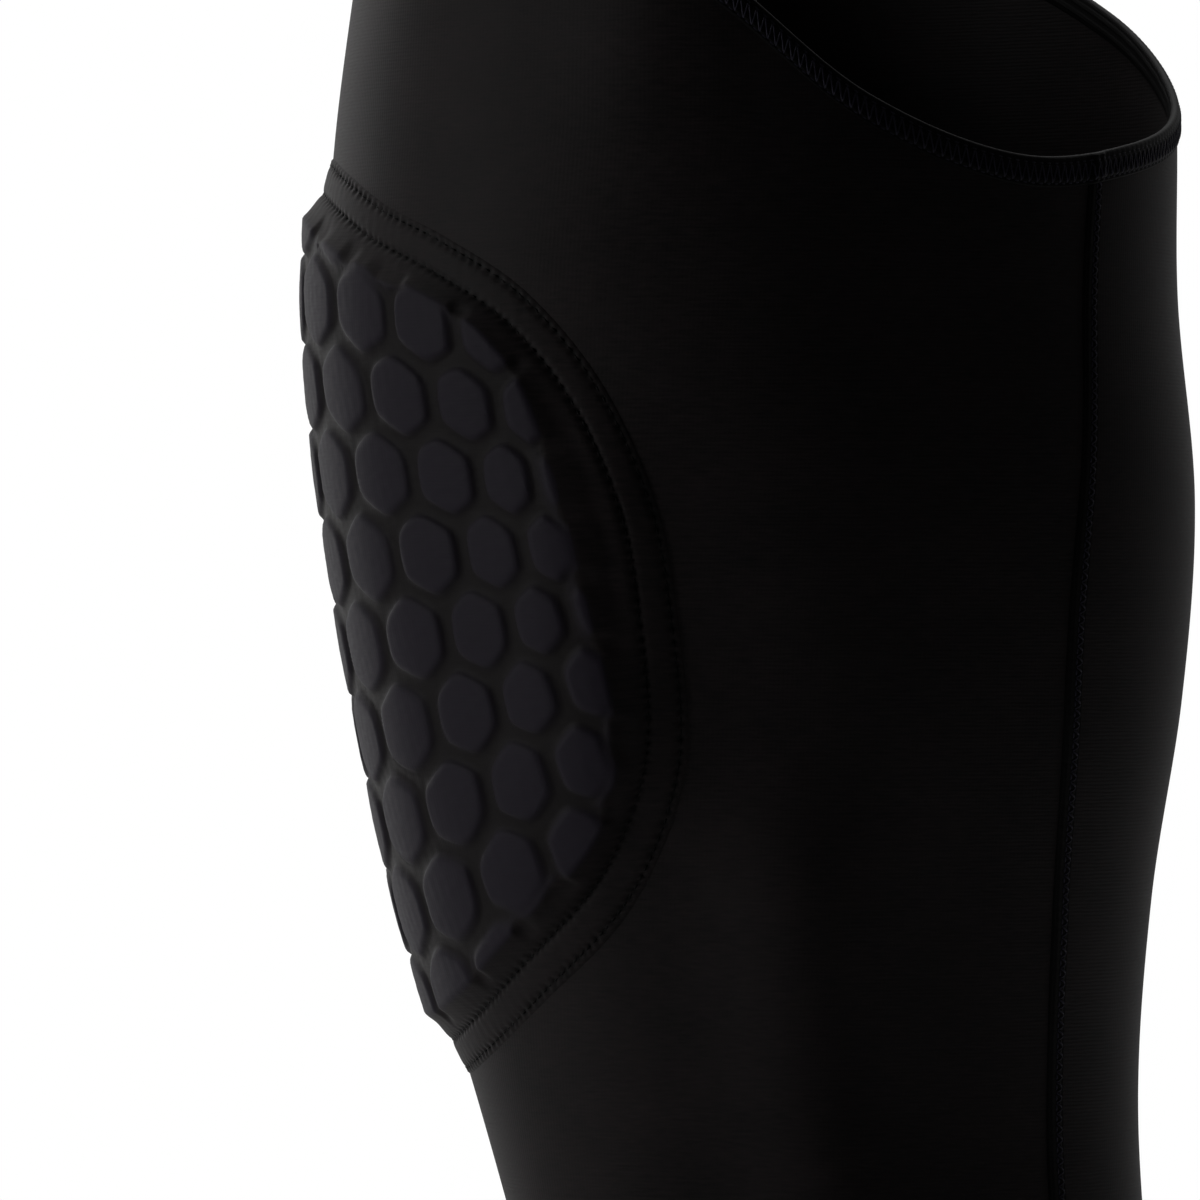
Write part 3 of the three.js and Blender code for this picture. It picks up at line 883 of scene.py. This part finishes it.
def pad_cover():
    """The panel's knit, sewn down round its margin and drawn tight over the foam's cells."""
    share, inset, place, inwards = cover_grid()
    x, y = place[..., 0], place[..., 1]
    inner = inset >= MARGIN_BAND
    moved_x, moved_y = gather_at_walls(x, y)
    x, y = np.where(inner, moved_x, x), np.where(inner, moved_y, y)

    foam_edge, met = foam_edges(share, inset)
    from_edge = np.where(inner, np.inf, inset - foam_edge)
    cells, on_cell = cell_heights(x, y, from_edge, inwards)
    margin, hole_shade = margin_relief(inset, share * edge_length)
    over_foam = soft_least(drawn_lift(inset, met), cells, FOAM_CORNER) + margin - COVER_CLOTH
    lift = np.select([inner, inset > INNER_ROW], [cells, over_foam], margin)
    lift = lift + COVER_RIPPLE * ripple(x, y, COVER_RIPPLE_SIZE, seed=3)
    lift = np.where(inset > 0, lift, -MARGIN_TUCK)

    cloth = np.stack([x, y, 0 * x], axis=-1)
    # Colour masks: the grooves' darker tone and the needle holes' near-black are painted shade.
    on_foam = smooth_step(*FOAM_COLOUR_SLOPE, inset - met)
    masks = {"cell": on_cell * on_foam, "foam": on_foam, "hole_shade": hole_shade}
    return mesh_object("pad_cover", panel_points(x, y, lift), grid_faces(*x.shape), cloth, masks)


def panel_row_place(run, row):
    """Where the panel's stitch rows run: place along the edge, and distance in from it."""
    place, _ = inside_edge(run / edge_length, row)
    return panel_turn(place[..., 0], place[..., 1]), place[..., 1]


def panel_threads():
    def outer_lift(turn, height):
        return COVER_CLOTH - PANEL_THREAD_SINK + 0 * turn

    def inner_lift(turn, height):
        return outer_lift(turn, height) + SEAM_BAND_RISE

    outer = stitches(panel_row_place, edge_length, OUTER_ROW, PANEL_STITCH, outer_lift)
    inner = stitches(panel_row_place, edge_length, INNER_ROW, PANEL_STITCH, inner_lift)
    return thread_object("panel_stitches", outer, inner)


# Materials


def node_setup(name):
    material = bpy.data.materials.new(name)
    material.use_nodes = True
    nodes = material.node_tree.nodes
    nodes.clear()
    shader = nodes.new("ShaderNodeBsdfPrincipled")
    output = nodes.new("ShaderNodeOutputMaterial")
    material.node_tree.links.new(shader.outputs["BSDF"], output.inputs["Surface"])
    return material, material.node_tree, shader


def add_node(tree, kind, settings=None, **inputs):
    """A node with its inputs set or linked. i0 and i1 stand for its first and second input."""
    node = tree.nodes.new(kind)
    for key, value in (settings or {}).items():
        setattr(node, key, value)
    for key, value in inputs.items():
        socket = node.inputs[int(key[1:]) if key in ("i0", "i1") else key]
        if isinstance(value, bpy.types.NodeSocket):
            tree.links.new(value, socket)
        else:
            socket.default_value = value
    return node


def maths(tree, operation, a, b=0.0):
    return add_node(tree, "ShaderNodeMath", {"operation": operation}, i0=a, i1=b).outputs[0]


def times(tree, a, b):
    return maths(tree, "MULTIPLY", a, b)


def plus(tree, a, b):
    return maths(tree, "ADD", a, b)


def mixed(tree, share, low, high):
    node = add_node(tree, "ShaderNodeMix", {"data_type": "RGBA"}, i0=share)
    for socket, value in ((node.inputs[6], low), (node.inputs[7], high)):
        if isinstance(value, bpy.types.NodeSocket):
            tree.links.new(value, socket)
        else:
            socket.default_value = (*value, 1)
    return node.outputs[2]


def stretched_noise(tree, place, scale, detail):
    """Noise with about this many grains to the metre in each direction of the cloth."""
    moved = add_node(tree, "ShaderNodeVectorMath", {"operation": "MULTIPLY"}, i0=place, i1=scale)
    place = moved.outputs[0]
    noise = add_node(tree, "ShaderNodeTexNoise", Vector=place, Scale=1.0, Detail=detail)
    noise.inputs["Roughness"].default_value = NOISE_ROUGHNESS
    return noise.outputs[0]


def attribute(tree, name, output="Fac"):
    return add_node(tree, "ShaderNodeAttribute", {"attribute_name": name}).outputs[output]


def knit_relief(tree, place, streaks):
    """Courses and wales, the courses wandering a little, with the yarn's unevenness along them."""
    split = add_node(tree, "ShaderNodeSeparateXYZ", Vector=place)
    wander = stretched_noise(tree, place, scale=(60, 400, 0), detail=2.0)
    courses = times(tree, split.outputs[1], 2 * math.pi / COURSE)
    courses = plus(tree, courses, times(tree, wander, COURSE_WANDER))
    wales = times(tree, split.outputs[0], 2 * math.pi / WALE)
    courses = times(tree, maths(tree, "SINE", courses), COURSE_RELIEF)
    wales = times(tree, maths(tree, "SINE", wales), WALE_RELIEF)
    return plus(tree, plus(tree, courses, wales), times(tree, streaks, STREAK_RELIEF))


def knit_tone(tree, place, streaks):
    """The share of the lighter colour: streaks along the courses, and broad faint patches."""
    patches = stretched_noise(tree, place, scale=(35, 55, 0), detail=4.0)
    tone = plus(tree, times(tree, streaks, STREAK_TONE), times(tree, patches, PATCH_TONE))
    return plus(tree, tone, -DARKENING)


def knit_material(name, dark, light, sheen, grain, foam_tones_and_shade=None):
    """Fine stretch knit, in relief and with a soft sheen.

    The foam's tones are the colours of the grooves, darker as painted shade in the recesses, of the cells'
    tops, in their violet-grey tint, and of the needle holes, near-black as painted shade.
    """
    material, tree, shader = node_setup(name)
    place = attribute(tree, "cloth", "Vector")
    streaks = stretched_noise(tree, place, scale=(230, 1500, 0), detail=3.0)
    relief = knit_relief(tree, place, streaks)
    bump = add_node(tree, "ShaderNodeBump", Strength=grain, Distance=KNIT_RELIEF, Height=relief)
    tree.links.new(bump.outputs["Normal"], shader.inputs["Normal"])

    tone = knit_tone(tree, place, streaks)
    colour = mixed(tree, tone, dark, light)
    if foam_tones_and_shade:
        # The grooves' darker colour and the needle holes' near-black are painted shade.
        groove, cell, hole_shade = foam_tones_and_shade
        cell = mixed(tree, tone, cell, tuple(CELL_LIGHTENING * part for part in cell))
        for part, part_colour in (("foam", groove), ("cell", cell), ("hole_shade", hole_shade)):
            colour = mixed(tree, attribute(tree, part), colour, part_colour)
    tree.links.new(colour, shader.inputs["Base Color"])
    roughness = plus(tree, times(tree, streaks, STREAK_ROUGHNESS), LEAST_ROUGHNESS)
    tree.links.new(roughness, shader.inputs["Roughness"])
    shader.inputs["Specular IOR Level"].default_value = 0.08
    shader.inputs["Sheen Weight"].default_value = sheen
    shader.inputs["Sheen Roughness"].default_value = 0.42
    shader.inputs["Sheen Tint"].default_value = (0.9, 0.86, 0.86, 1)
    return material


def thread_material(name, dark, light, shine):
    """Twisted polyester thread, its twist in relief."""
    material, tree, shader = node_setup(name)
    place = add_node(tree, "ShaderNodeTexCoord").outputs["Object"]
    bands = {"bands_direction": "DIAGONAL"}
    wave = add_node(tree, "ShaderNodeTexWave", bands, Vector=place, Scale=2600.0, Distortion=1.5)
    twist = wave.outputs["Fac"]
    bump = add_node(tree, "ShaderNodeBump", Strength=0.4, Distance=0.05 * MM, Height=twist)
    tree.links.new(bump.outputs["Normal"], shader.inputs["Normal"])
    tree.links.new(mixed(tree, twist, dark, light), shader.inputs["Base Color"])
    shader.inputs["Roughness"].default_value = 0.5
    shader.inputs["Specular IOR Level"].default_value = shine
    return material


def floor_material():
    material, tree, shader = node_setup("floor")
    noise = add_node(tree, "ShaderNodeTexNoise", Scale=40.0, Detail=4.0).outputs[0]
    pale = mixed(tree, noise, (0.86, 0.86, 0.86), (0.9, 0.9, 0.9))
    tree.links.new(pale, shader.inputs["Base Color"])
    shader.inputs["Roughness"].default_value = 0.7
    return material


# The stage


def add_camera():
    """The photograph's close view, from straight in front."""
    data = bpy.data.cameras.new("camera")
    data.sensor_width = SENSOR
    data.lens = SENSOR * CAMERA_DISTANCE / FRAME_WIDTH
    data.clip_end = 60
    camera = bpy.data.objects.new("camera", data)
    camera.location = (FRAME_MIDDLE["x"], -CAMERA_DISTANCE, FRAME_MIDDLE["z"])
    camera.rotation_euler = (math.radians(90), 0, 0)
    bpy.context.scene.collection.objects.link(camera)
    bpy.context.scene.camera = camera


def add_floor(height):
    """A pale round stand, its top at this height."""
    middle = (0, 0, height - FLOOR_THICKNESS / 2)
    bpy.ops.mesh.primitive_cylinder_add(
        vertices=160, radius=FLOOR_RADIUS, depth=FLOOR_THICKNESS, location=middle
    )
    floor = bpy.context.object
    floor.name = "floor"
    bevel = floor.modifiers.new("rounded edge", "BEVEL")
    bevel.width = FLOOR_ROUNDING
    bevel.segments = 4
    floor.data.materials.append(floor_material())


def add_surroundings():
    """A white sweep that the camera sees all round, and that lights the leg mostly from behind."""
    world = bpy.data.worlds.new("studio")
    bpy.context.scene.world = world
    world.use_nodes = True
    tree = world.node_tree
    tree.nodes.clear()
    direction = add_node(tree, "ShaderNodeTexCoord").outputs["Generated"]
    towards_back = add_node(tree, "ShaderNodeSeparateXYZ", Vector=direction).outputs[1]
    glow = add_node(tree, "ShaderNodeMapRange", i0=towards_back, **BACK_GLOW).outputs[0]
    seen = add_node(tree, "ShaderNodeLightPath").outputs["Is Camera Ray"]
    strength = maths(tree, "MAXIMUM", glow, seen)
    background = add_node(tree, "ShaderNodeBackground", Strength=strength, Color=(1, 1, 1, 1))
    output = add_node(tree, "ShaderNodeOutputWorld")
    tree.links.new(background.outputs[0], output.inputs["Surface"])


def add_softbox(name, place, width, height, power):
    light = bpy.data.lights.new(name, "AREA")
    light.shape = "RECTANGLE"
    light.size, light.size_y = width, height
    light.energy = power
    lamp = bpy.data.objects.new(name, light)
    lamp.location = place
    lamp.rotation_euler = (-lamp.location).to_track_quat("-Z", "Y").to_euler()
    lamp.visible_camera = False
    bpy.context.scene.collection.objects.link(lamp)


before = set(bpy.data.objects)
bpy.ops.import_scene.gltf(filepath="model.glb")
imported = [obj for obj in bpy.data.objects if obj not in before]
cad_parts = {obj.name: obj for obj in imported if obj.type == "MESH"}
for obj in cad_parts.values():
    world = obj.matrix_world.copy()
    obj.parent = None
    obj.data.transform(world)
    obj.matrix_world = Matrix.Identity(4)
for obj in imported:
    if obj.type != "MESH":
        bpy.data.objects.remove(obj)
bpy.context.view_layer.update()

add_camera()
add_floor(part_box("leg_sleeve")[0].z)
add_surroundings()
for softbox in SOFTBOXES:
    add_softbox(**softbox)
bpy.context.scene.view_settings.view_transform = "Standard"
bpy.context.scene.view_settings.look = "None"

knit_tones = {"dark": (0.0028, 0.0030, 0.0031), "light": (0.0162, 0.0124, 0.0128)}
# The seams' near-black knit is painted shade, standing in for the shadowed strip along each seam band.
seam_shade_tones = {"dark": (0.0010, 0.0009, 0.0010), "light": (0.0024, 0.0022, 0.0024)}
# Grooves darker as painted shade in the recesses, cell tops violet-grey in their tint, needle holes
# near-black as painted shade.
foam_tones_and_shade = ((0.0060, 0.0048, 0.0050), (0.0106, 0.0088, 0.0136), (0.0006, 0.0006, 0.0006))
sleeve_knit = knit_material("sleeve_knit", **knit_tones, sheen=0.05, grain=0.14)
seam_knit_painted_shade = knit_material("seam_knit_painted_shade", **seam_shade_tones, sheen=0.01, grain=0.14)
cover_knit = knit_material("cover_knit", **knit_tones, sheen=0.05, grain=0.06, foam_tones_and_shade=foam_tones_and_shade)
black_thread = {"dark": (0.0006, 0.0006, 0.0006), "light": (0.002, 0.002, 0.002)}
blue_thread = {"dark": (0.008, 0.007, 0.014), "light": (0.020, 0.018, 0.034)}
panel_thread = thread_material("panel_thread", **black_thread, shine=0.06)
seam_thread = thread_material("seam_thread", **blue_thread, shine=0.2)

sleeve = sleeve_cloth()
cover = pad_cover()
binding = top_binding()
band = inseam_band()
binding_stitches = seam_threads("top_seam_stitches", top_seam_line(), BINDING_NEEDLES, binding_relief)
band_stitches = seam_threads("inseam_stitches", inseam_line(), INSEAM_NEEDLES, inseam_relief)
hem_stitches = hem_threads()
pieces = (
    (sleeve, sleeve_knit, "sleeve_knit", ["leg_sleeve"]),
    (cover, cover_knit, "pad_cover", ["pad_panel", "panel_seam", "honeycomb_pad"]),
    (binding, seam_knit_painted_shade, "seam_tape", ["top_seam"]),
    (band, seam_knit_painted_shade, "seam_tape", ["inseam"]),
    (panel_threads(), panel_thread, "seam_tape", []),
    (binding_stitches, seam_thread, "seam_tape", []),
    (band_stitches, seam_thread, "seam_tape", []),
    (hem_stitches, seam_thread, "seam_tape", []),
)
for piece, material, slot, nodes in pieces:
    piece.data.materials.append(material)
    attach(piece, "root")
    if nodes:
        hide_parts(*nodes)
